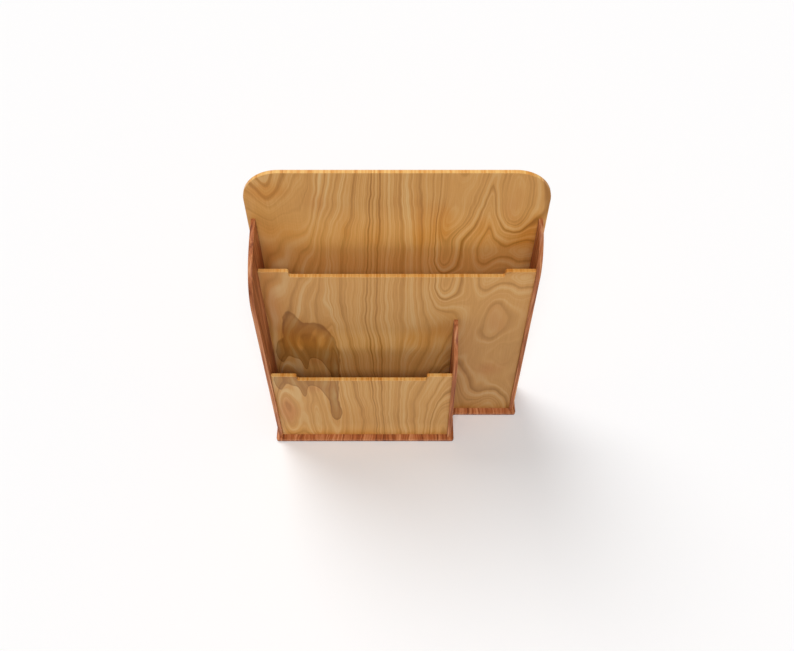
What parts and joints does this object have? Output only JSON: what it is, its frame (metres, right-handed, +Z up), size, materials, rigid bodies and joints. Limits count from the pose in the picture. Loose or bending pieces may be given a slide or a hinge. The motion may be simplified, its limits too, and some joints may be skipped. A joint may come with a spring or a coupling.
{
  "type": "magazine holder",
  "caption": "Free-standing wooden magazine holder with a full-width rear pocket, a shorter front pocket, a tall rounded back panel and swept sides on a thin stepped base.",
  "frame": {"origin": "centre of the underside of the bounding box, which is the plane that the base rests on", "axes": "+Z up, +Y from the front pocket to the back panel, +X to the right as seen from the front"},
  "size_m": [0.33, 0.092, 0.437],
  "materials": {
    "golden_wood": "satin clear lacquer over flat-cut figured golden wood",
    "red_wood": "satin clear lacquer over streaky red-brown wood",
    "pin_steel": "drawn bright steel"
  },
  "bodies": {
    "root": {"base": "red_wood", "back_panel": "golden_wood", "middle_panel": "golden_wood", "front_panel": "golden_wood", "left_side": "red_wood", "right_side": "red_wood", "divider": "red_wood", "base_pin_left_side_1": "pin_steel", "base_pin_left_side_2": "pin_steel", "base_pin_right_side_1": "pin_steel", "base_pin_divider_1": "pin_steel", "base_pin_back_panel_1": "pin_steel", "base_pin_back_panel_2": "pin_steel", "base_pin_back_panel_3": "pin_steel", "base_pin_back_panel_4": "pin_steel", "base_pin_middle_panel_1": "pin_steel", "base_pin_middle_panel_2": "pin_steel", "base_pin_middle_panel_3": "pin_steel", "base_pin_middle_panel_4": "pin_steel", "base_pin_front_panel_1": "pin_steel", "base_pin_front_panel_2": "pin_steel", "base_pin_front_panel_3": "pin_steel", "back_pin_left_side_1": "pin_steel", "back_pin_left_side_2": "pin_steel", "back_pin_left_side_3": "pin_steel", "back_pin_left_side_4": "pin_steel", "back_pin_right_side_1": "pin_steel", "back_pin_right_side_2": "pin_steel", "back_pin_right_side_3": "pin_steel", "back_pin_right_side_4": "pin_steel"}
  },
  "joints": []
}
